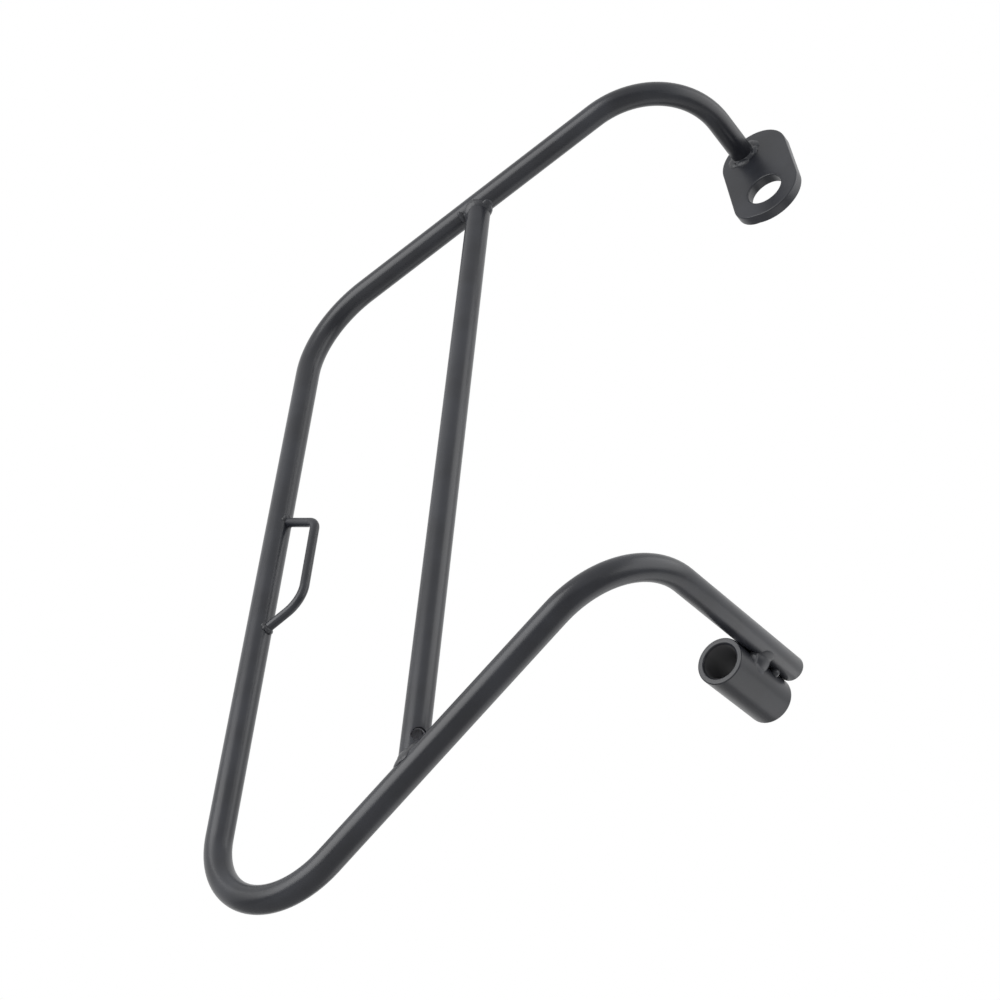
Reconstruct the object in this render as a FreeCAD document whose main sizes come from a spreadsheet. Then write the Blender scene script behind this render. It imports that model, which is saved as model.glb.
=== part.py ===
import FreeCAD, Part
import Sketcher
import math
import os

# Side bag bracket for a motorcycle, right-hand side, in millimetres.
# One tube is bent into an open loop that lies against the bag. Both of its ends turn inboard to the
# frame: the upper end carries a flat tab with a large bolt hole, the lower end a collar beside it.
# X points forward, Y inboard, Z up. The origin is the centre of the tab's hole, half way through it.

doc = FreeCAD.newDocument("side_bag_bracket")
sheet = doc.addObject("Spreadsheet::Sheet", "Sizes")

SIZES = [
    # the bent tube
    ("tube_outer", 12.7),
    ("tube_wall", 1.65),
    ("upper_forward", 229.0),
    ("upper_rise", 81.0),
    ("rear_run", 418.0),
    ("lower_forward", 214.0),
    ("lower_rise", 173.0),
    ("upper_stand_off", 76.0),
    ("lower_stand_off", 143.5),
    ("lower_tilt", 8.5),
    ("bend_radius", 50.0),
    ("foot_bend_radius", 42.0),
    # the upright brace between the upper and the lower run
    ("brace_outer", 12.7),
    ("brace_wall", 1.65),
    ("brace_forward", 107.4),
    ("brace_inset", 1.5),
    ("vent_bore", 8.0),
    ("vent_height", 16.7),
    ("vent_turn", 58.0),
    # the strap loop on the rear run
    ("rod_size", 4.8),
    ("strap_depth", 25.8),
    ("strap_drop", 142.5),
    ("strap_foot", 72.9),
    ("strap_top_fall", 11.5),
    ("strap_low_fall", 11.6),
    ("strap_top_radius", 6.0),
    ("strap_low_radius", 15.0),
    # the tab on the upper end
    ("tab_thick", 6.0),
    ("tab_width", 39.4),
    ("tab_centres", 32.0),
    ("tab_lean", 11.2),
    ("tab_bore", 20.0),
    ("tab_heel_radius", 14.0),
    ("tab_heel_drop", 3.8),
    ("tab_edge", 0.5),
    ("seat_up", 39.0),
    ("seat_back", 5.0),
    # the collar beside the lower end
    ("collar_outer", 23.5),
    ("collar_bore", 16.5),
    ("collar_length", 46.5),
    ("collar_start", 99.0),
    ("collar_mouth", 1.2),
    ("collar_edge", 0.5),
    # weld beads
    ("tab_bead", 2.8),
    ("brace_bead", 2.0),
    ("strap_bead", 1.5),
    ("groove_bead", 3.15),
    ("groove_bead_depth", 3.25),
    ("groove_bead_start", 114.0),
    ("groove_bead_length", 16.0),
]
for row, (alias, number) in enumerate(SIZES, start=1):
    sheet.set(f"A{row}", alias)
    sheet.set(f"B{row}", str(number))
    sheet.setAlias(f"B{row}", alias)
doc.recompute()


def size(alias):
    return float(sheet.get(alias))


def vector(x, y, z):
    return FreeCAD.Vector(x, y, z)


TUBE_RADIUS = size("tube_outer") / 2
LEAN = math.radians(size("tab_lean"))
TILT = math.radians(size("lower_tilt"))

# The middle of the tube's upper end, on the tab's outboard face, seen from the hole.
UPPER_END = vector(
    -math.sin(LEAN) * size("seat_up") - math.cos(LEAN) * size("seat_back"),
    -size("tab_thick") / 2,
    math.cos(LEAN) * size("seat_up") - math.sin(LEAN) * size("seat_back"),
)

# The corners of the tube's centre line, where its straight runs would meet.
UPPER_CORNER = UPPER_END - vector(0, size("upper_stand_off"), 0)
HEAD_CORNER = UPPER_CORNER - vector(size("upper_forward"), 0, size("upper_rise"))
FOOT_CORNER = HEAD_CORNER - vector(0, 0, size("rear_run"))
LOWER_CORNER = FOOT_CORNER + vector(size("lower_forward"), 0, size("lower_rise"))
LOWER_AXIS = vector(0, math.cos(TILT), math.sin(TILT))
LOWER_END = LOWER_CORNER + LOWER_AXIS * size("lower_stand_off")

UPPER_RUN = (UPPER_CORNER - HEAD_CORNER).normalize()
LOWER_RUN = (LOWER_CORNER - FOOT_CORNER).normalize()
INBOARD = vector(0, 1, 0)
UP = vector(0, 0, 1)
SAME = 1e-6


def bent_path(corners, radii):
    """A wire of straight runs joined by tangent arcs, one radius for each inner corner."""
    edges = []
    start = corners[0]
    for before, corner, after, radius in zip(corners, corners[1:], corners[2:], radii):
        arriving = (corner - before).normalize()
        leaving = (after - corner).normalize()
        half_turn = arriving.getAngle(leaving) / 2
        reach = radius * math.tan(half_turn)
        arc_start = corner - arriving * reach
        arc_end = corner + leaving * reach
        inward = (leaving - arriving).normalize()
        arc_middle = corner + inward * (radius / math.cos(half_turn) - radius)
        edges.append(Part.LineSegment(start, arc_start).toShape())
        edges.append(Part.Arc(arc_start, arc_middle, arc_end).toShape())
        start = arc_end
    edges.append(Part.LineSegment(start, corners[-1]).toShape())
    return Part.Wire(edges)


def path_object(name, wire):
    path = doc.addObject("Part::Feature", name)
    path.Shape = wire
    return path


def bound(obj, prop, expression):
    obj.setExpression(prop, expression)
    return obj


def facing(direction):
    return FreeCAD.Rotation(UP, direction)


def ring_at(name, radius, point, direction):
    """A circle across a path at its start."""
    ring = bound(doc.addObject("Part::Circle", name), "Radius", radius)
    ring.Placement = FreeCAD.Placement(point, facing(direction))
    return ring


def swept(name, path, ring):
    body = doc.addObject("Part::Sweep", name)
    body.Sections = [ring]
    body.Spine = (path, [f"Edge{number + 1}" for number in range(len(path.Shape.Edges))])
    body.Solid = True
    return body


def cylinder(name, radius, height, point, direction):
    body = doc.addObject("Part::Cylinder", name)
    bound(body, "Radius", radius)
    bound(body, "Height", height)
    body.Placement = FreeCAD.Placement(point, facing(direction))
    return body


def cut(name, base, tool):
    body = doc.addObject("Part::Cut", name)
    body.Base = base
    body.Tool = tool
    return body


# main tube: one bent tube, open at its lower end
tube_path = path_object("tube_path", bent_path(
    [UPPER_END, UPPER_CORNER, HEAD_CORNER, FOOT_CORNER, LOWER_CORNER, LOWER_END],
    [size("bend_radius"), size("bend_radius"), size("foot_bend_radius"), size("bend_radius")]))
tube_solid = swept("tube_solid", tube_path, ring_at(
    "tube_ring", "Sizes.tube_outer / 2", UPPER_END, -INBOARD))
tube_hollow = swept("tube_hollow", tube_path, ring_at(
    "tube_hollow_ring", "Sizes.tube_outer / 2 - Sizes.tube_wall", UPPER_END, -INBOARD))
main_tube = cut("main_tube", tube_solid, tube_hollow)


# brace tube: upright, coped over the upper and the lower run, with a vent hole near its foot
def on_run(corner, run, forward):
    """The point beside a run's centre line at a distance forward of the rear run."""
    along = (HEAD_CORNER.x + forward - corner.x) / run.x
    return corner + run * along + INBOARD * size("brace_inset")


BRACE_HEAD = on_run(HEAD_CORNER, UPPER_RUN, size("brace_forward"))
BRACE_FOOT = on_run(FOOT_CORNER, LOWER_RUN, size("brace_forward"))
BRACE_SPAN = BRACE_HEAD.z - BRACE_FOOT.z
VENT_TURN = math.radians(size("vent_turn"))
VENT_AXIS = vector(math.sin(VENT_TURN), -math.cos(VENT_TURN), 0)

brace_blank = cut(
    "brace_blank",
    cylinder("brace_bar", "Sizes.brace_outer / 2", f"{BRACE_SPAN} mm", BRACE_FOOT, UP),
    cylinder("brace_hollow", "Sizes.brace_outer / 2 - Sizes.brace_wall", f"{BRACE_SPAN} mm",
             BRACE_FOOT, UP))
brace_coped = cut("brace_coped", brace_blank, tube_solid)
vent_tool = cylinder(
    "vent_tool", "Sizes.vent_bore / 2", "Sizes.brace_outer",
    BRACE_FOOT + UP * size("vent_height"), VENT_AXIS)
brace_tube = cut("brace_tube", brace_coped, vent_tool)

# strap loop: a rod bent round the gap that the bag's strap goes through
STRAP_TOP = HEAD_CORNER - UP * size("strap_drop")
STRAP_LOW = STRAP_TOP - UP * size("strap_foot")
strap_path = path_object("strap_path", bent_path(
    [STRAP_TOP,
     STRAP_TOP + vector(size("strap_depth"), 0, -size("strap_top_fall")),
     STRAP_LOW + vector(size("strap_depth"), 0, size("strap_low_fall")),
     STRAP_LOW],
    [size("strap_top_radius"), size("strap_low_radius")]))
STRAP_TOP_LEG = vector(size("strap_depth"), 0, -size("strap_top_fall")).normalize()
STRAP_LOW_LEG = vector(size("strap_depth"), 0, size("strap_low_fall")).normalize()
strap_rod = swept("strap_rod", strap_path, ring_at(
    "strap_ring", "Sizes.rod_size / 2", STRAP_TOP, STRAP_TOP_LEG))
strap_loop = cut("strap_loop", strap_rod, tube_solid)


# mount tab: a flat plate, round at its top, with a bolt hole in its lower end
def origin_plane(body, role):
    return next(plane for plane in body.Origin.OriginFeatures if plane.Role == role)


def sketch_on(body, role, name):
    sketch = body.newObject("Sketcher::SketchObject", name)
    sketch.AttachmentSupport = [(origin_plane(body, role), "")]
    sketch.MapMode = "FlatFace"
    return sketch


def constrain(sketch, name, constraint, expression):
    """Adds a named dimension to a sketch and ties it to the sheet."""
    number = sketch.addConstraint(constraint)
    sketch.renameConstraint(number, name)
    sketch.setExpression(f"Constraints.{name}", expression)


def tab_outline(sketch):
    """The plate's edge: two sides, a round top, a round bottom and a heel beside it."""
    half = size("tab_width") / 2
    top = size("tab_centres")
    heel_radius = size("tab_heel_radius")
    heel_drop = size("tab_heel_drop")
    heel_centre = vector(heel_radius - half, -heel_drop, 0)
    # The two round parts of the lower edge meet in a shallow crease.
    apart = heel_centre.Length
    along = (half ** 2 - heel_radius ** 2 + apart ** 2) / (2 * apart)
    aside = math.sqrt(half ** 2 - along ** 2)
    to_heel = vector(heel_centre.x, heel_centre.y, 0).normalize()
    crease = to_heel * along + vector(-to_heel.y, to_heel.x, 0) * aside
    heel_way = (crease - heel_centre).normalize() - vector(1, 0, 0)
    heel_middle = heel_centre + heel_way.normalize() * heel_radius
    bottom_way = crease.normalize() + vector(1, 0, 0)
    bottom_middle = vector(bottom_way.x, bottom_way.y, 0).normalize() * half
    side, crown, back, heel, bottom = sketch.addGeometry([
        Part.LineSegment(vector(half, 0, 0), vector(half, top, 0)),
        Part.Arc(vector(half, top, 0), vector(0, top + half, 0), vector(-half, top, 0)),
        Part.LineSegment(vector(-half, top, 0), vector(-half, -heel_drop, 0)),
        Part.Arc(vector(-half, -heel_drop, 0), heel_middle, crease),
        Part.Arc(crease, bottom_middle, vector(half, 0, 0)),
    ], False)
    # What a sketch calls a curve's points, and its own origin and upright axis.
    start, end, middle = 1, 2, 3
    origin, upright_axis = -1, -2
    sketch.addConstraint([
        Sketcher.Constraint("Tangent", side, end, crown, start),
        Sketcher.Constraint("Tangent", crown, end, back, start),
        Sketcher.Constraint("Tangent", back, end, heel, start),
        Sketcher.Constraint("Coincident", heel, end, bottom, start),
        Sketcher.Constraint("Tangent", bottom, end, side, start),
        Sketcher.Constraint("Coincident", bottom, middle, origin, start),
        Sketcher.Constraint("PointOnObject", crown, middle, upright_axis),
        Sketcher.Constraint("Vertical", back),
    ])
    constrain(sketch, "bottom_radius",
              Sketcher.Constraint("Radius", bottom, half), "Sizes.tab_width / 2")
    constrain(sketch, "back_side",
              Sketcher.Constraint("DistanceX", back, start, origin, start, half),
              "Sizes.tab_width / 2")
    constrain(sketch, "centres",
              Sketcher.Constraint("DistanceY", origin, start, crown, middle, top),
              "Sizes.tab_centres")
    constrain(sketch, "heel_radius",
              Sketcher.Constraint("Radius", heel, heel_radius), "Sizes.tab_heel_radius")
    constrain(sketch, "heel_drop",
              Sketcher.Constraint("DistanceY", heel, middle, origin, start, heel_drop),
              "Sizes.tab_heel_drop")


def centred_circle(sketch, name, alias):
    """A circle about the sketch's origin, with its diameter from the sheet."""
    circle = sketch.addGeometry(
        Part.Circle(vector(0, 0, 0), UP, size(alias) / 2), False)
    start, middle, origin = 1, 3, -1
    sketch.addConstraint(Sketcher.Constraint("Coincident", circle, middle, origin, start))
    constrain(sketch, name, Sketcher.Constraint("Diameter", circle, size(alias)),
              f"Sizes.{alias}")


def rims(feature, radius):
    """The names of a feature's round edges that have a given radius."""
    return [
        f"Edge{number}" for number, edge in enumerate(feature.Shape.Edges, start=1)
        if isinstance(edge.Curve, Part.Circle) and abs(edge.Curve.Radius - radius) < SAME
    ]


mount_tab = doc.addObject("PartDesign::Body", "mount_tab")
plate_sketch = sketch_on(mount_tab, "XZ_Plane", "tab_outline")
tab_outline(plate_sketch)
plate = mount_tab.newObject("PartDesign::Pad", "tab_plate")
plate.Profile = plate_sketch
bound(plate, "Length", "Sizes.tab_thick")
plate.Midplane = True
bore_sketch = sketch_on(mount_tab, "XZ_Plane", "tab_bore_circle")
centred_circle(bore_sketch, "bore", "tab_bore")
doc.recompute()
tab_hole = mount_tab.newObject("PartDesign::Pocket", "tab_hole")
tab_hole.Profile = bore_sketch
tab_hole.Type = "ThroughAll"
tab_hole.Midplane = True
doc.recompute()
eased = mount_tab.newObject("PartDesign::Chamfer", "tab_eased_edges")
eased.Base = (tab_hole, [
    f"Edge{number}" for number, edge in enumerate(tab_hole.Shape.Edges, start=1)
    if abs(edge.BoundBox.YLength) < SAME])
bound(eased, "Size", "Sizes.tab_edge")
mount_tab.Placement = FreeCAD.Placement(vector(0, 0, 0), FreeCAD.Rotation(INBOARD, 0))
bound(mount_tab, "Placement.Rotation.Angle", "-Sizes.tab_lean")

# mount collar: a thick sleeve beside the tube's lower end, inside its last bend
COLLAR_SIDE = (LOWER_RUN * -1 + LOWER_AXIS * LOWER_AXIS.dot(LOWER_RUN)).normalize()
COLLAR_OFFSET = TUBE_RADIUS + size("collar_outer") / 2
COLLAR_START = LOWER_CORNER + LOWER_AXIS * size("collar_start") + COLLAR_SIDE * COLLAR_OFFSET

mount_collar = doc.addObject("PartDesign::Body", "mount_collar")
collar_sketch = sketch_on(mount_collar, "XY_Plane", "collar_section")
centred_circle(collar_sketch, "outer", "collar_outer")
centred_circle(collar_sketch, "bore", "collar_bore")
sleeve = mount_collar.newObject("PartDesign::Pad", "collar_sleeve")
sleeve.Profile = collar_sketch
bound(sleeve, "Length", "Sizes.collar_length")
doc.recompute()
mouths = mount_collar.newObject("PartDesign::Chamfer", "collar_mouths")
mouths.Base = (sleeve, rims(sleeve, size("collar_bore") / 2))
bound(mouths, "Size", "Sizes.collar_mouth")
doc.recompute()
collar_edges = mount_collar.newObject("PartDesign::Chamfer", "collar_outer_edges")
collar_edges.Base = (mouths, rims(mouths, size("collar_outer") / 2))
bound(collar_edges, "Size", "Sizes.collar_edge")
mount_collar.Placement = FreeCAD.Placement(COLLAR_START, facing(LOWER_AXIS))

# weld beads: each is laid along its joint and cut back to the faces that it joins
def joint_weld(name, bead, joint, way, radius, run, inset=0):
    """A bead round the joint of a bar with the tube: all that lies within one bead's size of both."""
    reach = size("tube_outer") * 2
    by_bar = cylinder(f"{name}_by_bar", f"{radius} + {bead}", f"{reach} mm", joint, way)
    by_tube = cylinder(f"{name}_by_tube", f"Sizes.tube_outer / 2 + {bead}", f"{reach * 2} mm",
                       joint - run * reach - INBOARD * inset, run)
    common = doc.addObject("Part::MultiCommon", f"{name}_common")
    common.Shapes = [by_bar, by_tube]
    return common


brace_radius = "Sizes.brace_outer / 2"
upper_common = joint_weld("brace_upper", "Sizes.brace_bead", BRACE_HEAD, -UP, brace_radius,
                          UPPER_RUN, size("brace_inset"))
lower_common = joint_weld("brace_lower", "Sizes.brace_bead", BRACE_FOOT, UP, brace_radius,
                          LOWER_RUN, size("brace_inset"))
brace_bar = doc.getObject("brace_bar")
brace_upper_weld = cut("brace_upper_weld", cut("brace_upper_ring", upper_common, brace_bar), tube_solid)
brace_lower_weld = cut("brace_lower_weld", cut("brace_lower_ring", lower_common, brace_bar), tube_solid)

rod_radius = "Sizes.rod_size / 2"
top_common = joint_weld("loop_upper", "Sizes.strap_bead", STRAP_TOP, STRAP_TOP_LEG, rod_radius, UP)
low_common = joint_weld("loop_lower", "Sizes.strap_bead", STRAP_LOW, STRAP_LOW_LEG, rod_radius, UP)
loop_upper_weld = cut("loop_upper_weld", cut("loop_upper_ring", top_common, strap_rod), tube_solid)
loop_lower_weld = cut("loop_lower_weld", cut("loop_lower_ring", low_common, strap_rod), tube_solid)

tab_bead = bound(doc.addObject("Part::Cone", "tab_bead_cone"), "Radius1",
                 "Sizes.tube_outer / 2 + Sizes.tab_bead")
bound(tab_bead, "Radius2", "Sizes.tube_outer / 2")
bound(tab_bead, "Height", "Sizes.tab_bead")
tab_bead.Placement = FreeCAD.Placement(UPPER_END, facing(-INBOARD))
tab_weld = cut("tab_weld", tab_bead, tube_solid)

collar_bar = cylinder("collar_bar", "Sizes.collar_outer / 2", "Sizes.collar_length",
                      COLLAR_START, LOWER_AXIS)


def groove_weld(name, way):
    """A bead in one of the two grooves between the tube and the collar."""
    aside = LOWER_AXIS.cross(COLLAR_SIDE) * way
    begin = (LOWER_CORNER + LOWER_AXIS * size("groove_bead_start") + COLLAR_SIDE * TUBE_RADIUS
             + aside * size("groove_bead_depth"))
    bead = cylinder(f"{name}_bead", "Sizes.groove_bead", "Sizes.groove_bead_length",
                    begin, LOWER_AXIS)
    return cut(name, cut(f"{name}_on_tube", bead, tube_solid), collar_bar)


collar_lower_weld = groove_weld("collar_lower_weld", -1)
collar_upper_weld = groove_weld("collar_upper_weld", 1)

SUB_PARTS = [
    main_tube, brace_tube, strap_loop, mount_tab, mount_collar, tab_weld, brace_upper_weld,
    brace_lower_weld, loop_upper_weld, loop_lower_weld, collar_lower_weld, collar_upper_weld,
]

doc.recompute()
for obj in doc.Objects:
    if "Invalid" in obj.State or "Error" in obj.State:
        raise RuntimeError(f"{obj.Label} failed: {obj.State}")
for part in SUB_PARTS:
    if part.Shape.isNull() or not part.Shape.isValid():
        raise RuntimeError(f"{part.Label} has no valid shape")

os.makedirs("parts", exist_ok=True)
for part in SUB_PARTS:
    part.Shape.exportStep(f"parts/{part.Label}.step")
    print(part.Label, len(part.Shape.Solids), "solid", round(part.Shape.Volume, 1), "mm3")
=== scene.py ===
import math
import random

import bmesh
import bpy
from mathutils import Matrix, Vector


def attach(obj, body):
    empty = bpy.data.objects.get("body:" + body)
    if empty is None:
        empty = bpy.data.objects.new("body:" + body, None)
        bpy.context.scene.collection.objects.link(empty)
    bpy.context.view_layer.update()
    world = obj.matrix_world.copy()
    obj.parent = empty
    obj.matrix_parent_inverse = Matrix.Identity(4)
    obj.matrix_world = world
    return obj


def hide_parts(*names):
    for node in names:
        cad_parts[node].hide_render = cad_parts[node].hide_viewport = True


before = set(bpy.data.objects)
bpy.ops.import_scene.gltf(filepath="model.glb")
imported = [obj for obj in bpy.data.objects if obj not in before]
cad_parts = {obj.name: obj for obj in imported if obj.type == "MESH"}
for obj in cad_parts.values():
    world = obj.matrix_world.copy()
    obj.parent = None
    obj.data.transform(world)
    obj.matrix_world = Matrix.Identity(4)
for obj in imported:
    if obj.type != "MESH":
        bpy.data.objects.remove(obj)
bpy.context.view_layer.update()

MM = 0.001
X = Vector((1, 0, 0))
INBOARD = Vector((0, 1, 0))
UP = Vector((0, 0, 1))

# The bracket's sizes, in metres, as in the part's source.
TUBE_R = 6.35 * MM
TUBE_WALL = 1.65 * MM
TUBE_BORE_R = TUBE_R - TUBE_WALL
BORE_DEPTH = 80 * MM
BEND_R = 50 * MM
FOOT_BEND_R = 42 * MM
TAB_THICK = 6 * MM
TAB_HALF = 19.7 * MM
TAB_CENTRES = 32 * MM
TAB_HOLE_R = 10 * MM
TAB_LEAN = math.radians(11.2)
HEEL_R = 14 * MM
HEEL_DROP = 3.8 * MM
ROD_R = 2.4 * MM
ROD_TOP_BEND_R = 6 * MM
ROD_LOW_BEND_R = 15 * MM
COLLAR_R = 11.75 * MM
COLLAR_BORE_R = 8.25 * MM
COLLAR_LENGTH = 46.5 * MM
COLLAR_MOUTH = 1.2 * MM
LOWER_TILT = math.radians(8.5)
BRACE_FORWARD = 107.4 * MM
BRACE_INSET = 1.5 * MM
VENT_R = 4 * MM
VENT_HEIGHT = 16.7 * MM
VENT_TURN = math.radians(58)

# The steps from one place to the next, in millimetres, as in the part's source.
SEAT_UP = 39
SEAT_BACK = 5
UPPER_STAND_OFF = 76
UPPER_FORWARD = 229
UPPER_RISE = 81
REAR_RUN = 418
LOWER_FORWARD = 214
LOWER_RISE = 173
LOWER_STAND_OFF = 143.5
COLLAR_REACH = 99
STRAP_DROP = 142.5
STRAP_FOOT = 72.9
STRAP_DEPTH = 25.8
STRAP_TOP_FALL = 11.5
STRAP_LOW_FALL = 11.6

# The corners of the tube's path, and the places where the other pieces join it.
LOWER_AXIS = Vector((0, math.cos(LOWER_TILT), math.sin(LOWER_TILT)))
TAB_UP = Vector((-math.sin(TAB_LEAN), 0, math.cos(TAB_LEAN)))
TAB_FORWARD = Vector((math.cos(TAB_LEAN), 0, math.sin(TAB_LEAN)))
UPPER_END = TAB_UP * SEAT_UP * MM - TAB_FORWARD * SEAT_BACK * MM - INBOARD * TAB_THICK / 2
UPPER_CORNER = UPPER_END - INBOARD * UPPER_STAND_OFF * MM
HEAD_CORNER = UPPER_CORNER - Vector((UPPER_FORWARD, 0, UPPER_RISE)) * MM
FOOT_CORNER = HEAD_CORNER - UP * REAR_RUN * MM
LOWER_CORNER = FOOT_CORNER + Vector((LOWER_FORWARD, 0, LOWER_RISE)) * MM
LOWER_END = LOWER_CORNER + LOWER_AXIS * LOWER_STAND_OFF * MM
UPPER_RUN = (UPPER_CORNER - HEAD_CORNER).normalized()
LOWER_RUN = (LOWER_CORNER - FOOT_CORNER).normalized()
BRACE_HEAD = HEAD_CORNER + UPPER_RUN * (BRACE_FORWARD / UPPER_RUN.x) + INBOARD * BRACE_INSET
BRACE_FOOT = FOOT_CORNER + LOWER_RUN * (BRACE_FORWARD / LOWER_RUN.x) + INBOARD * BRACE_INSET
COLLAR_SIDE = (LOWER_AXIS * LOWER_AXIS.dot(LOWER_RUN) - LOWER_RUN).normalized()
COLLAR_START = LOWER_CORNER + LOWER_AXIS * COLLAR_REACH * MM + COLLAR_SIDE * (TUBE_R + COLLAR_R)
LOOP_TOP = HEAD_CORNER - UP * STRAP_DROP * MM
LOOP_LOW = LOOP_TOP - UP * STRAP_FOOT * MM
LOOP_TOP_CORNER = LOOP_TOP + Vector((STRAP_DEPTH, 0, -STRAP_TOP_FALL)) * MM
LOOP_LOW_CORNER = LOOP_LOW + Vector((STRAP_DEPTH, 0, STRAP_LOW_FALL)) * MM

# How finely things are drawn. Points nearer to each other than SAME_PLACE are one.
TUBE_STEPS = 64
ROD_STEPS = 40
WIDE_STEPS = 96
VENT_STEPS = 48
BEND_STEP = math.radians(3)
FEWEST_BEND_STEPS = 8
SAME_PLACE = 0.01 * MM

# Edges that turn more than this are shaded as corners.
SHARP = math.radians(35)
VERY_SHARP = math.radians(60)


# The finish: a satin black powder coat, the same on every piece but for small differences.


class Value:
    """A socket that shader maths can be written with."""

    def __init__(self, shader, socket):
        self.shader = shader
        self.socket = socket

    def maths(self, operation, first, second):
        return self.shader.node("ShaderNodeMath", {"operation": operation}, [first, second])

    def __add__(self, other):
        return self.maths("ADD", self, other)

    def __sub__(self, other):
        return self.maths("SUBTRACT", self, other)

    def __rsub__(self, other):
        return self.maths("SUBTRACT", other, self)

    def __mul__(self, other):
        return self.maths("MULTIPLY", self, other)

    __radd__ = __add__
    __rmul__ = __mul__


class Finish:
    """A material whose nodes are added one call at a time."""

    def __init__(self, name):
        self.material = bpy.data.materials.new(name)
        self.material.use_nodes = True
        self.tree = self.material.node_tree
        self.shader = self.tree.nodes["Principled BSDF"]
        self.place = self.node("ShaderNodeTexCoord", {}, {}, "Object")

    def node(self, kind, settings, inputs, output=0):
        made = self.tree.nodes.new(kind)
        for key, setting in settings.items():
            setattr(made, key, setting)
        pairs = inputs.items() if isinstance(inputs, dict) else enumerate(inputs)
        for key, given in pairs:
            self.feed(made.inputs[key], given)
        return Value(self, made.outputs[output])

    def feed(self, socket, given):
        if isinstance(given, Value):
            self.tree.links.new(given.socket, socket)
        else:
            socket.default_value = given

    def grain(self, scale, detail=2.0, roughness=0.5):
        """Noise of a given number of features to the metre, from 0 to 1."""
        return self.node("ShaderNodeTexNoise", {}, {
            "Vector": self.place, "Scale": scale, "Detail": detail, "Roughness": roughness})

    def band(self, value, low, high):
        """0 below low, 1 above high, and smooth between them."""
        return self.node("ShaderNodeMapRange", {"interpolation_type": "SMOOTHSTEP"}, {
            "Value": value, "From Min": low, "From Max": high})

    def vector_maths(self, operation, inputs, output=0):
        return self.node("ShaderNodeVectorMath", {"operation": operation}, inputs, output)

    def inside(self, point, way, radius):
        """1 nearer than a radius to the line that leaves a point, and 0 beyond, with soft edges."""
        offset = self.vector_maths("SUBTRACT", [self.place, tuple(point)])
        across = self.vector_maths("CROSS_PRODUCT", [offset, tuple(way)])
        distance = self.vector_maths("LENGTH", [across], 1)
        forward = self.vector_maths("DOT_PRODUCT", [offset, tuple(way)], 1)
        started = self.band(forward, -1.0 * MM, -0.5 * MM)
        beyond = self.band(distance, radius - EDGE_SOFTNESS, radius + EDGE_SOFTNESS)
        return started * (1 - beyond)

    def mix(self, factor, first, second):
        return self.node("ShaderNodeMix", {"data_type": "RGBA"}, {
            0: factor, 6: first, 7: second}, 2)

    def bump(self, height, distance, strength=1.0, below=None):
        inputs = {"Height": height, "Distance": distance, "Strength": strength}
        if below is not None:
            inputs["Normal"] = below
        return self.node("ShaderNodeBump", {}, inputs)


# The coat's colours, and its noises in features to the metre.
BLACK = (0.0132, 0.0142, 0.0180, 1)
SOFT_BLACK = (0.0205, 0.0222, 0.0280, 1)
WELD_BLACK = (0.034, 0.0344, 0.0370, 1)
DUST_GREY = (0.09, 0.09, 0.09, 1)
CLOUDS = 38.0
ORANGE_PEEL = 620.0
FINE_GRIT = 2600.0
DUST = 1500.0
COAT_IOR = 1.43

# How far past a bore's wall the bare steel's tone reaches (a tone that is partly painted light),
# and half the width of its edge.
BORE_MARGIN = 0.3 * MM
EDGE_SOFTNESS = 0.15 * MM


def powder_coat(name, rough, peel_height=0.007 * MM, grit_height=0.0018 * MM, bore=None,
                dark=BLACK, pale=SOFT_BLACK):
    """Satin black powder coat: slow changes of tone, an orange-peel skin and a fine grit.

    Inside a bore, given as (point, way, radius, tone), the coat thins out over grey steel. That
    tone is partly the steel's own and partly painted light, set paler so the shaded inside looks
    lit.
    """
    coat = Finish(name)
    cloud = coat.grain(CLOUDS, detail=3.0)
    peel = coat.grain(ORANGE_PEEL, detail=2.0)
    fine = coat.grain(FINE_GRIT, detail=3.0, roughness=0.6)
    dust = coat.band(coat.grain(DUST, detail=1.0), 0.70, 0.80)
    tone = coat.mix(coat.band(cloud, 0.35, 0.68), dark, pale)
    colour = coat.mix(dust * 0.2, tone, DUST_GREY)
    roughness = rough + (cloud - 0.5) * 0.10 + (fine - 0.5) * 0.08 + dust * 0.10
    if bore:
        # Painted light in part: the bore's steel grey is set paler than the shade inside would
        # leave it, as if light reached in.
        point, way, radius, bore_grey_with_painted_light = bore
        bare_steel_with_painted_light = coat.inside(point, way, radius + BORE_MARGIN)
        steel_colour_with_painted_light = coat.mix(cloud, (bore_grey_with_painted_light, bore_grey_with_painted_light, bore_grey_with_painted_light * 1.05, 1),
                         (bore_grey_with_painted_light * 1.3, bore_grey_with_painted_light * 1.3, bore_grey_with_painted_light * 1.35, 1))
        colour = coat.mix(bare_steel_with_painted_light, colour, steel_colour_with_painted_light)
        roughness = roughness + bare_steel_with_painted_light * 0.18
    coat.feed(coat.shader.inputs["Base Color"], colour)
    coat.feed(coat.shader.inputs["Roughness"], roughness)
    skin = coat.bump(peel, peel_height)
    coat.feed(coat.shader.inputs["Normal"], coat.bump(fine, grit_height, below=skin))
    coat.shader.inputs["IOR"].default_value = COAT_IOR
    return coat.material


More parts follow.
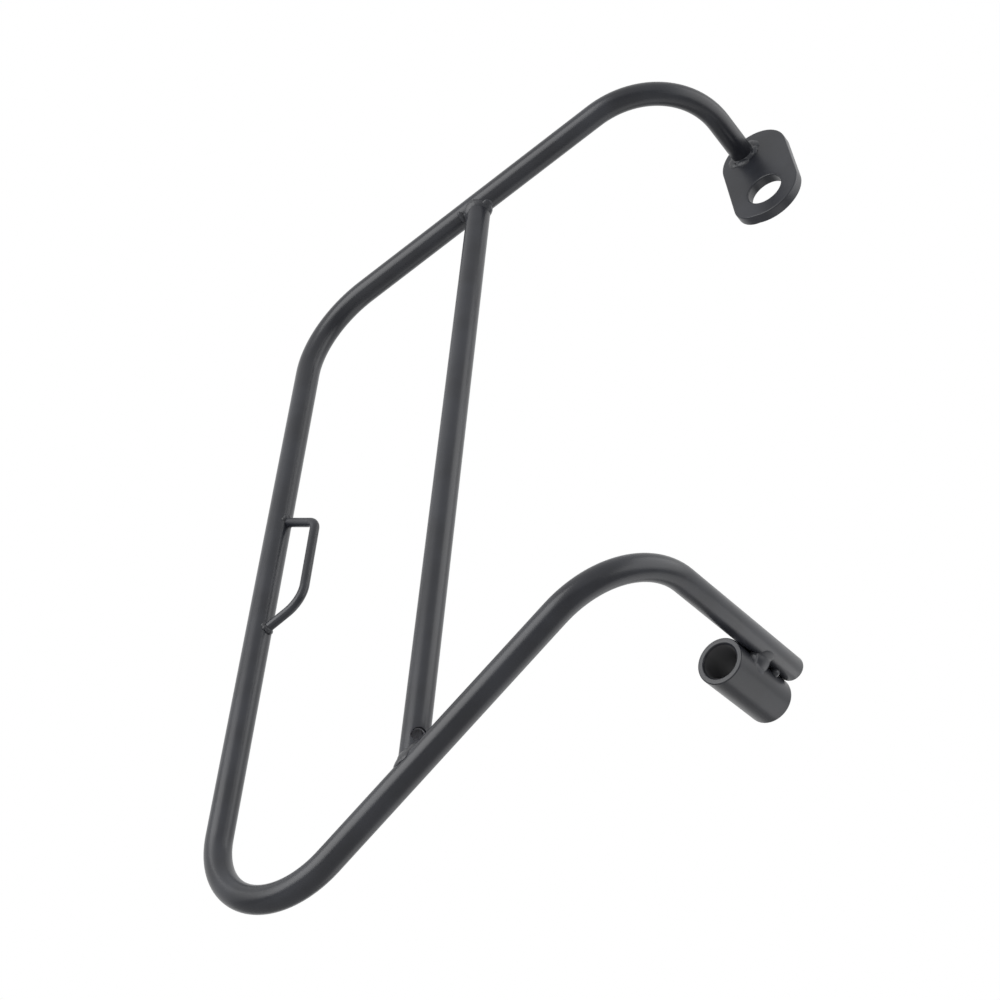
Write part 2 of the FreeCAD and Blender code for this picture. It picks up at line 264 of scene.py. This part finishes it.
# The bore tones are partly bare steel and partly painted light; the upright's pale 0.68 makes its
# inside show lit through the vent.
TUBE_COAT = powder_coat("tube_coat", rough=0.31, bore=(
    LOWER_END - LOWER_AXIS * (BORE_DEPTH + 1 * MM), LOWER_AXIS, TUBE_BORE_R, 0.15))
UPRIGHT_COAT = powder_coat("upright_coat", rough=0.31, bore=(
    BRACE_FOOT, UP, TUBE_BORE_R, 0.68))
ROD_COAT = powder_coat("rod_coat", rough=0.31)
PLATE_COAT = powder_coat("plate_coat", rough=0.34, peel_height=0.014 * MM,
                         grit_height=0.0035 * MM)
COLLAR_COAT = powder_coat("collar_coat", rough=0.33, peel_height=0.010 * MM,
                          grit_height=0.0030 * MM,
                          bore=(COLLAR_START, LOWER_AXIS, COLLAR_BORE_R, 0.075))
WELD_COAT = powder_coat("weld_coat", rough=0.36, peel_height=0.014 * MM,
                        grit_height=0.003 * MM, dark=SOFT_BLACK, pale=WELD_BLACK)


# The pieces, each made at its own place in the bracket.


def finished(name, mesh, material, node, sharp=SHARP):
    """Makes a bmesh an object that stands for a CAD node."""
    bmesh.ops.recalc_face_normals(mesh, faces=mesh.faces)
    for face in mesh.faces:
        face.smooth = True
    for edge in mesh.edges:
        if len(edge.link_faces) == 2 and edge.calc_face_angle() > sharp:
            edge.smooth = False
    data = bpy.data.meshes.new(name)
    mesh.to_mesh(data)
    mesh.free()
    data.materials.append(material)
    piece = bpy.data.objects.new(name, data)
    bpy.context.scene.collection.objects.link(piece)
    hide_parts(node)
    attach(piece, "root")
    return piece


def flattened(piece):
    """Keeps a piece's flat faces flat in the light, whatever the rounds beside them do."""
    flat = piece.modifiers.new("flat_faces", "WEIGHTED_NORMAL")
    flat.keep_sharp = True
    return piece


def facing(way):
    """The turn that brings Z to a way."""
    return way.to_track_quat("Z", "Y").to_matrix().to_4x4()


def ring(mesh, radius, centre, way, steps=TUBE_STEPS):
    """A circle of edges across a way, and the edges themselves."""
    made = bmesh.ops.create_circle(mesh, radius=radius, segments=steps,
                                   matrix=Matrix.Translation(centre) @ facing(way))
    corners = set(made["verts"])
    return [edge for edge in mesh.edges if set(edge.verts) <= corners]


def drawn(mesh, edges, step):
    """Extrudes edges along a straight step and returns the new edges at its end."""
    made = bmesh.ops.extrude_edge_only(mesh, edges=edges)["geom"]
    corners = [part for part in made if isinstance(part, bmesh.types.BMVert)]
    bmesh.ops.translate(mesh, verts=corners, vec=step)
    far = set(corners)
    return [part for part in made
            if isinstance(part, bmesh.types.BMEdge) and set(part.verts) <= far]


def turned(mesh, edges, centre, axis, angle, steps):
    """Spins edges round an axis and returns the new edges at the end of the turn."""
    corners = list({corner for edge in edges for corner in edge.verts})
    made = bmesh.ops.spin(mesh, geom=edges + corners, cent=centre, axis=axis, dvec=(0, 0, 0),
                          angle=angle, steps=steps, use_duplicate=False)["geom_last"]
    return [part for part in made if isinstance(part, bmesh.types.BMEdge)]


def scaled(mesh, edges, centre, factor):
    """Scales edges about a centre."""
    corners = list({corner for edge in edges for corner in edge.verts})
    bmesh.ops.scale(mesh, vec=(factor, factor, factor), verts=corners,
                    space=Matrix.Translation(-centre))


def bent(mesh, edges, corners, radii):
    """Draws a ring along straight runs and round the bends between them, like a tube bender."""
    place = corners[0]
    for before, corner, after, radius in zip(corners, corners[1:], corners[2:], radii):
        arriving = (corner - before).normalized()
        leaving = (after - corner).normalized()
        turn = arriving.angle(leaving)
        reach = radius * math.tan(turn / 2)
        edges = drawn(mesh, edges, corner - arriving * reach - place)
        axis = arriving.cross(leaving).normalized()
        centre = corner - arriving * reach + axis.cross(arriving) * radius
        steps = max(FEWEST_BEND_STEPS, round(turn / BEND_STEP))
        edges = turned(mesh, edges, centre, axis, turn, steps)
        place = corner + leaving * reach
    return drawn(mesh, edges, corners[-1] - place)


# The rounded lip of the tube's open end, as steps inwards and onwards in millimetres.
LIP_STEPS = [(0.12, 0.28), (0.28, 0.12), (0.35, 0.0)]
LIP_WIDTH = 0.75
LIP_RISE = 0.4


def main_tube():
    """The bent tube, with a rounded lip and a bore at its open lower end."""
    mesh = bmesh.new()
    edges = ring(mesh, TUBE_R, UPPER_END, -INBOARD)
    bmesh.ops.edgeloop_fill(mesh, edges=edges)
    corners = [UPPER_END, UPPER_CORNER, HEAD_CORNER, FOOT_CORNER, LOWER_CORNER,
               LOWER_END - LOWER_AXIS * LIP_RISE * MM]
    edges = bent(mesh, edges, corners, [BEND_R, BEND_R, FOOT_BEND_R, BEND_R])
    for inset, rise in LIP_STEPS:
        edges = drawn(mesh, edges, LOWER_AXIS * rise * MM)
        scaled(mesh, edges, LOWER_END, 1 - inset * MM / TUBE_R)
    edges = drawn(mesh, edges, Vector())
    scaled(mesh, edges, LOWER_END, TUBE_BORE_R / (TUBE_R - LIP_WIDTH * MM))
    edges = drawn(mesh, edges, -LOWER_AXIS * 0.3 * MM)
    edges = drawn(mesh, edges, -LOWER_AXIS * BORE_DEPTH)
    bmesh.ops.edgeloop_fill(mesh, edges=edges)
    return finished("bent_tube", mesh, TUBE_COAT, "main_tube")


def saddle(point, joint, run, side):
    """How high over the joint the run's top (side 1) or underside (side -1) is, at a point."""
    across = point - joint + INBOARD * BRACE_INSET
    over = math.sqrt(max(TUBE_R ** 2 - across.y ** 2, 0.0))
    return across.x * run.z / run.x + side * over / run.x


# How long the stretches are that the copes are drawn in, at each end of the upright.
COPE_LENGTH = 24 * MM


def brace_tube():
    """The upright, coped over both runs, with the vent hole drilled near its foot."""
    def corners_of(edges):
        return {corner for edge in edges for corner in edge.verts}

    mesh = bmesh.new()
    ends = []
    for radius in (TUBE_R, TUBE_BORE_R):
        foot = ring(mesh, radius, BRACE_FOOT, UP)
        edges = drawn(mesh, foot, UP * COPE_LENGTH)
        for corner in corners_of(foot):
            corner.co.z = BRACE_FOOT.z + saddle(corner.co, BRACE_FOOT, LOWER_RUN, 1)
        edges = drawn(mesh, edges, UP * (BRACE_HEAD.z - BRACE_FOOT.z - 2 * COPE_LENGTH))
        head = drawn(mesh, edges, UP * COPE_LENGTH)
        for corner in corners_of(head):
            corner.co.z = BRACE_HEAD.z + saddle(corner.co, BRACE_HEAD, UPPER_RUN, -1)
        ends.append((foot, head))
    for outer, inner in zip(*ends):
        bmesh.ops.bridge_loops(mesh, edges=outer + inner)
    tube = finished("upright_tube", mesh, UPRIGHT_COAT, "brace_tube")

    drill = vent_drill()
    cut = tube.modifiers.new("vent", "BOOLEAN")
    cut.operation = "DIFFERENCE"
    cut.solver = "EXACT"
    cut.object = drill
    rim = tube.modifiers.new("eased_rim", "BEVEL")
    rim.width = 0.35 * MM
    rim.segments = 3
    rim.limit_method = "ANGLE"
    rim.angle_limit = math.radians(50)
    applied(tube)
    bpy.data.objects.remove(drill)
    return tube


def vent_drill():
    """The drill that makes the vent hole, from the upright's middle out through one wall."""
    mesh = bmesh.new()
    way = Vector((math.sin(VENT_TURN), -math.cos(VENT_TURN), 0))
    edges = ring(mesh, VENT_R, BRACE_FOOT + UP * VENT_HEIGHT, way, VENT_STEPS)
    bmesh.ops.edgeloop_fill(mesh, edges=edges)
    bmesh.ops.edgeloop_fill(mesh, edges=drawn(mesh, edges, way * 12 * MM))
    bmesh.ops.recalc_face_normals(mesh, faces=mesh.faces)
    data = bpy.data.meshes.new("drill")
    mesh.to_mesh(data)
    mesh.free()
    drill = bpy.data.objects.new("drill", data)
    bpy.context.scene.collection.objects.link(drill)
    return drill


def applied(piece):
    """Turns a piece's modifiers into its mesh."""
    bpy.context.view_layer.update()
    evaluated = piece.evaluated_get(bpy.context.evaluated_depsgraph_get())
    data = bpy.data.meshes.new_from_object(evaluated)
    piece.modifiers.clear()
    piece.data = data


def strap_loop():
    """The bent rod that the bag's strap goes round, with both ends buried in the tube."""
    buried = 4 * MM
    mesh = bmesh.new()
    start = LOOP_TOP + (LOOP_TOP_CORNER - LOOP_TOP).normalized() * buried
    end = LOOP_LOW + (LOOP_LOW_CORNER - LOOP_LOW).normalized() * buried
    edges = ring(mesh, ROD_R, start, LOOP_TOP_CORNER - LOOP_TOP, ROD_STEPS)
    bmesh.ops.edgeloop_fill(mesh, edges=edges)
    edges = bent(mesh, edges, [start, LOOP_TOP_CORNER, LOOP_LOW_CORNER, end],
                 [ROD_TOP_BEND_R, ROD_LOW_BEND_R])
    bmesh.ops.edgeloop_fill(mesh, edges=edges)
    return finished("strap_rod", mesh, ROD_COAT, "strap_loop")


def crossing():
    """Where the heel's circle meets the bottom's, along X."""
    heel = Vector((HEEL_R - TAB_HALF, -HEEL_DROP))
    apart = heel.length
    along = (TAB_HALF ** 2 - HEEL_R ** 2 + apart ** 2) / (2 * apart)
    aside = math.sqrt(TAB_HALF ** 2 - along ** 2)
    way = heel.normalized()
    first = way * along + Vector((way.y, -way.x)) * aside
    second = way * along - Vector((way.y, -way.x)) * aside
    return min(first, second, key=lambda spot: spot.y).x


def mount_tab():
    """The plate: two straight sides, a round top and bottom, and a heel beside the bottom."""
    mesh = bmesh.new()
    face = -TAB_THICK / 2
    crease_x = crossing()
    crease = Vector((crease_x, face, -math.sqrt(TAB_HALF ** 2 - crease_x ** 2)))
    heel = Vector((HEEL_R - TAB_HALF, face, -HEEL_DROP))

    def arc(start, centre, angle, steps):
        first = mesh.verts.new(start)
        bmesh.ops.spin(mesh, geom=[first], cent=centre, axis=(0, -1, 0), dvec=(0, 0, 0),
                       angle=angle, steps=steps, use_duplicate=False)

    arc((TAB_HALF, face, TAB_CENTRES), (0, face, TAB_CENTRES), math.pi, 48)
    arc((-TAB_HALF, face, -HEEL_DROP), heel, (crease - heel).angle(-X), 20)
    arc(crease, (0, face, 0), crease.xz.angle(Vector((1, 0))), 40)
    bmesh.ops.remove_doubles(mesh, verts=mesh.verts, dist=SAME_PLACE)
    ends = [corner for corner in mesh.verts if len(corner.link_edges) == 1]
    ends.sort(key=lambda corner: corner.co.x)
    mesh.edges.new(ends[:2])
    mesh.edges.new(ends[2:])
    outline = list(mesh.edges)
    hole = ring(mesh, TAB_HOLE_R, Vector((0, face, 0)), -INBOARD, WIDE_STEPS)
    bmesh.ops.triangle_fill(mesh, use_beauty=True, edges=outline + hole)
    bmesh.ops.dissolve_limit(mesh, angle_limit=0.001, verts=[], edges=[])
    made = bmesh.ops.extrude_face_region(mesh, geom=list(mesh.faces), use_keep_orig=True)["geom"]
    bmesh.ops.translate(mesh, vec=(0, TAB_THICK, 0),
                        verts=[part for part in made if isinstance(part, bmesh.types.BMVert)])
    bmesh.ops.recalc_face_normals(mesh, faces=mesh.faces)
    rims = [edge for edge in mesh.edges
            if len(edge.link_faces) == 2 and edge.calc_face_angle() > VERY_SHARP
            and abs(edge.verts[0].co.y - edge.verts[1].co.y) < SAME_PLACE]
    bmesh.ops.bevel(mesh, geom=rims, offset=0.8 * MM, affect="EDGES", segments=4, profile=0.5,
                    material=-1)
    bmesh.ops.rotate(mesh, cent=(0, 0, 0), matrix=Matrix.Rotation(-TAB_LEAN, 3, "Y"),
                     verts=mesh.verts)
    return flattened(finished("bolt_tab", mesh, PLATE_COAT, "mount_tab", VERY_SHARP))


def corner_round(radius, height, ease, first, last, steps=4):
    """Points of a rounded corner in a section, from one angle to another, in degrees."""
    turn = [math.radians(first + (last - first) * step / steps) for step in range(steps + 1)]
    return [(radius + ease * math.cos(angle), height + ease * math.sin(angle)) for angle in turn]


def mount_collar():
    """The sleeve: a ring stepped round its own section, with a chamfered bore and eased edges."""
    ease = 0.6 * MM
    mouth_r = COLLAR_BORE_R + COLLAR_MOUTH
    turn_in = 0.2 * MM
    turn_down = 0.06 * MM
    section = [(COLLAR_BORE_R, COLLAR_MOUTH), (mouth_r - turn_in, turn_down), (mouth_r, 0)]
    section += corner_round(COLLAR_R - ease, ease, ease, -90, 0)
    section += corner_round(COLLAR_R - ease, COLLAR_LENGTH - ease, ease, 0, 90)
    section += [(mouth_r, COLLAR_LENGTH), (mouth_r - turn_in, COLLAR_LENGTH - turn_down),
                (COLLAR_BORE_R, COLLAR_LENGTH - COLLAR_MOUTH)]
    mesh = bmesh.new()
    radius, height = section[0]
    edges = ring(mesh, radius, COLLAR_START + LOWER_AXIS * height, LOWER_AXIS, WIDE_STEPS)
    for next_radius, next_height in section[1:] + section[:1]:
        edges = drawn(mesh, edges, LOWER_AXIS * (next_height - height))
        scaled(mesh, edges, COLLAR_START + LOWER_AXIS * next_height, next_radius / radius)
        radius, height = next_radius, next_height
    bmesh.ops.remove_doubles(mesh, verts=mesh.verts, dist=SAME_PLACE)
    return flattened(finished("collar", mesh, COLLAR_COAT, "mount_collar", VERY_SHARP))


# The welds, laid as overlapping drops and fused.


def weld(name, node, spots, seed, fuse=0.28 * MM, easing=10, wobble=0.14):
    """Lays drops, each (place, along, out, length, width, height), and fuses them into a bead.

    fuse is the fineness of the fused skin, easing how often it is smoothed, and wobble how much
    the drops differ.
    """
    chance = random.Random(seed)
    mesh = bmesh.new()
    for place, along, out, length, width, height in spots:
        aside = out.cross(along).normalized()
        along = aside.cross(out).normalized()
        turn = Matrix((along, aside, out)).transposed().to_4x4()
        uneven = [1 + chance.uniform(-wobble, wobble) for _ in range(3)]
        shape = Matrix.Diagonal((length / 2 * uneven[0], width / 2 * uneven[1],
                                 height * uneven[2], 1))
        shift = aside * chance.uniform(-wobble, wobble) * width * 0.4
        bmesh.ops.create_uvsphere(mesh, u_segments=16, v_segments=10, radius=1,
                                  matrix=Matrix.Translation(place + shift) @ turn @ shape)
    bead = finished(name, mesh, WELD_COAT, node, math.pi)
    fused = bead.modifiers.new("fused", "REMESH")
    fused.mode = "VOXEL"
    fused.voxel_size = fuse
    fused.use_smooth_shade = True
    eased = bead.modifiers.new("eased", "SMOOTH")
    eased.factor = 0.5
    eased.iterations = easing
    applied(bead)
    for face in bead.data.polygons:
        face.use_smooth = True
    return bead


# How many thin drops make the ring under the fuller ones.
RING_DROPS = 28

# The tab weld's fuller drops: angle round the tube from forward, distance out from its middle,
# length, width and height, the last four in millimetres.
TAB_DROPS = [
    (-24, 7.4, 7.4, 4.6, 1.5), (-104, 7.8, 9.4, 4.8, 1.5), (-162, 7.9, 6.4, 5.0, 1.2),
    (34, 8.2, 7.4, 5.0, 1.3), (74, 7.6, 7.0, 5.0, 1.4), (118, 7.7, 7.0, 5.0, 1.4),
    (-148, 8.8, 6.0, 4.6, 1.0), (16, 8.9, 7.4, 4.8, 1.0),
]


def tab_weld():
    """A thin ring round the tube's end on the plate, fuller in places."""
    def ways(angle):
        out = TAB_FORWARD * math.cos(angle) + TAB_UP * math.sin(angle)
        along = TAB_UP * math.cos(angle) - TAB_FORWARD * math.sin(angle)
        return out, along

    spots = []
    for number in range(RING_DROPS):
        out, along = ways(2 * math.pi * number / RING_DROPS)
        spots.append((UPPER_END + out * (TUBE_R + 0.2 * MM), along, (out - INBOARD).normalized(),
                      4.4 * MM, 7.0 * MM, 1.0 * MM))
    for degrees, away, length, width, height in TAB_DROPS:
        out, along = ways(math.radians(degrees))
        spots.append((UPPER_END + out * away * MM, along, (out * 0.35 - INBOARD).normalized(),
                      length * MM, width * MM, height * MM))
    return weld("tab_weld_bead", "tab_weld", spots, 3, fuse=0.22 * MM, easing=8, wobble=0.08)


# The fuller drops at the upright's joints: angle round it from forward, length, width, height
# and how far up, in millimetres. The toe drops lie out on the run: angle, distance along the run,
# length, width and height.
HEAD_DROPS = [(-8, 5.6, 6.0, 1.9, 0.4), (182, 6.6, 6.4, 1.5, 0.0)]
HEAD_TOES = [(228, -3.4, 3.6, 7.4, 1.4), (-20, 1.6, 5.2, 5.6, 1.3)]
FOOT_DROPS = [(0, 6.2, 6.6, 1.8, 0.0), (160, 6.6, 6.4, 1.3, 0.0),
              (244, 8.0, 8.0, 1.2, 0.2), (270, 8.0, 8.4, 1.4, 0.5)]


def brace_weld(name, node, joint, run, side, seed, drops, toes=()):
    """A thin bead where the upright meets a run, fuller in places."""
    def on_joint(angle):
        point = joint + Vector((math.cos(angle), math.sin(angle), 0)) * TUBE_R
        point.z += saddle(point, joint, run, side)
        return point

    def ways(point):
        from_brace = Vector((point.x - joint.x, point.y - joint.y, 0)).normalized()
        offset = point - joint + INBOARD * BRACE_INSET
        from_run = (offset - run * offset.dot(run)).normalized()
        return from_brace, from_run

    def spot(angle, length, width, height, rise=0.0):
        point = on_joint(angle)
        along = (on_joint(angle + 0.1) - on_joint(angle - 0.1)).normalized()
        from_brace, from_run = ways(point)
        out = (from_brace + from_run).normalized()
        return point + UP * rise * MM, along, out, length * MM, width * MM, height * MM

    def toe(angle, slide, length, width, height):
        point = on_joint(angle)
        from_run = ways(point)[1]
        return point + run * slide * MM, run, from_run, length * MM, width * MM, height * MM

    spots = []
    for number in range(RING_DROPS):
        angle = 2 * math.pi * number / RING_DROPS
        inboard = max(0.0, math.sin(angle))
        spots.append(spot(angle, 4.6, 5.6 - 2.0 * inboard, 1.1 - 0.6 * inboard,
                          side * 3.0 * inboard))
    spots += [spot(math.radians(degrees), *rest) for degrees, *rest in drops]
    spots += [toe(math.radians(degrees), *rest) for degrees, *rest in toes]
    return weld(name, node, spots, seed, fuse=0.26 * MM, wobble=0.06)


def loop_weld(name, node, foot, corner, seed):
    """A ring of small drops round one of the rod's feet on the tube."""
    leg = (corner - foot).normalized()
    beside = leg.cross(INBOARD).normalized()
    reach = 2.6 * MM
    count = 10
    spots = []
    for number in range(count):
        angle = 2 * math.pi * number / count
        out = INBOARD * math.cos(angle) + beside * math.sin(angle)
        along = beside * math.cos(angle) - INBOARD * math.sin(angle)
        rise = math.sqrt(TUBE_R ** 2 - (math.cos(angle) * reach) ** 2)
        place = foot + leg * rise + out * 2.5 * MM
        spots.append((place, along, (out + leg).normalized(), 2.8 * MM, 3.0 * MM, 1.3 * MM))
    return weld(name, node, spots, seed, fuse=0.2 * MM, easing=4)


# The drops in each groove beside the collar: distance along from the tube's corner, across
# towards the collar and out of the groove, length, width and height, all in millimetres, and
# how far each leans away from the collar.
GROOVE_DROPS = [
    (116.6, 6.8, 3.0, 15.0, 14.0, 4.4, 0.32), (115.6, 9.6, 7.0, 11.0, 6.4, 1.2, 1.0),
    (116.6, 2.4, 5.2, 11.0, 6.4, 1.4, -0.35), (110.4, 8.0, 4.6, 6.0, 7.0, 2.3, 0.6),
    (130.6, 6.6, 3.6, 5.0, 5.6, 2.6, 0.2),
]


def collar_weld(name, node, way, seed):
    """A broad smooth fillet in a groove, with a small drop left alone near the tube's end."""
    aside = LOWER_AXIS.cross(COLLAR_SIDE) * way
    spots = []
    for reach, across, out, length, width, height, lean in GROOVE_DROPS:
        place = LOWER_CORNER + (LOWER_AXIS * reach + COLLAR_SIDE * across + aside * out) * MM
        spots.append((place, LOWER_AXIS, (aside - COLLAR_SIDE * lean).normalized(),
                      length * MM, width * MM, height * MM))
    return weld(name, node, spots, seed, fuse=0.3 * MM, easing=16, wobble=0.03)


main_tube()
brace_tube()
strap_loop()
mount_tab()
mount_collar()
tab_weld()
brace_weld("upright_head_bead", "brace_upper_weld", BRACE_HEAD, UPPER_RUN, -1, 5,
           HEAD_DROPS, HEAD_TOES)
brace_weld("upright_foot_bead", "brace_lower_weld", BRACE_FOOT, LOWER_RUN, 1, 8,
           FOOT_DROPS)
loop_weld("rod_upper_bead", "loop_upper_weld", LOOP_TOP, LOOP_TOP_CORNER, 11)
loop_weld("rod_lower_bead", "loop_lower_weld", LOOP_LOW, LOOP_LOW_CORNER, 12)
collar_weld("collar_lower_bead", "collar_lower_weld", -1, 21)
collar_weld("collar_upper_bead", "collar_upper_weld", 1, 22)


# The camera stands where the photograph was taken, and the lamps are placed as it sees them.

VIEW_RIGHT = Vector((0.81172, 0.57966, 0.07139))
VIEW_UP = Vector((0.34255, -0.57152, 0.74567))
VIEW_BACK = VIEW_RIGHT.cross(VIEW_UP)
VIEW_PLACE = Vector((343.53, -621.81, -855.94)) * MM

camera_data = bpy.data.cameras.new("camera")
camera_data.lens = 73.292
camera_data.sensor_width = 36
camera_data.shift_x = -0.0005
camera_data.shift_y = 0.0005
camera = bpy.data.objects.new("camera", camera_data)
camera.matrix_world = Matrix.Translation(VIEW_PLACE) @ Matrix(
    (VIEW_RIGHT, VIEW_UP, VIEW_BACK)).transposed().to_4x4()
bpy.context.scene.collection.objects.link(camera)
bpy.context.scene.camera = camera

# The point that the lamps face, the floor's height and the light of the white room.
MIDDLE = Vector((-0.12, -0.02, -0.19))
FLOOR_HEIGHT = -1.15
FLOOR_SIZE = 6
ROOM_LIGHT = 0.5
ROOM_SEEN = 1.0


def lamp(name, right, up, back, width, height, watts):
    """A softbox that faces the bracket's middle, placed as the camera sees it."""
    data = bpy.data.lights.new(name, "AREA")
    data.shape = "RECTANGLE"
    data.size = width
    data.size_y = height
    data.energy = watts
    box = bpy.data.objects.new(name, data)
    away = VIEW_RIGHT * right + VIEW_UP * up + VIEW_BACK * back
    box.matrix_world = Matrix.Translation(MIDDLE + away) @ facing(away)
    bpy.context.scene.collection.objects.link(box)


lamp("key", right=-1.15, up=0.75, back=0.55, width=1.3, height=1.3, watts=20.6)
lamp("fill", right=0.85, up=0.45, back=0.15, width=0.8, height=1.3, watts=5.5)
lamp("under", right=0.80, up=-0.80, back=-0.05, width=0.9, height=0.9, watts=3)

floor_mesh = bmesh.new()
bmesh.ops.create_grid(floor_mesh, x_segments=1, y_segments=1, size=FLOOR_SIZE,
                      matrix=Matrix.Translation((0, 0, FLOOR_HEIGHT)))
floor_data = bpy.data.meshes.new("floor")
floor_mesh.to_mesh(floor_data)
floor_mesh.free()
floor = bpy.data.objects.new("floor", floor_data)
bpy.context.scene.collection.objects.link(floor)
paper = Finish("paper")
paper.shader.inputs["Base Color"].default_value = (0.8, 0.8, 0.8, 1)
paper.shader.inputs["Roughness"].default_value = 0.9
floor_data.materials.append(paper.material)

# The room is pure white where it is seen, mirrored or seen through, and dimmer as a light.
world = bpy.data.worlds.new("studio")
world.use_nodes = True
bpy.context.scene.world = world
nodes = world.node_tree.nodes
links = world.node_tree.links


def larger(first, second):
    """The larger of two sockets' values."""
    made = nodes.new("ShaderNodeMath")
    made.operation = "MAXIMUM"
    links.new(first, made.inputs[0])
    links.new(second, made.inputs[1])
    return made.outputs[0]


rays = nodes.new("ShaderNodeLightPath").outputs
seen = larger(larger(rays["Is Camera Ray"], rays["Is Glossy Ray"]), rays["Is Transmission Ray"])
strength = nodes.new("ShaderNodeMapRange")
strength.inputs["To Min"].default_value = ROOM_LIGHT
strength.inputs["To Max"].default_value = ROOM_SEEN
links.new(seen, strength.inputs["Value"])
background = nodes["Background"]
background.inputs["Color"].default_value = (1, 1, 1, 1)
links.new(strength.outputs[0], background.inputs["Strength"])

bpy.context.scene.view_settings.view_transform = "Standard"
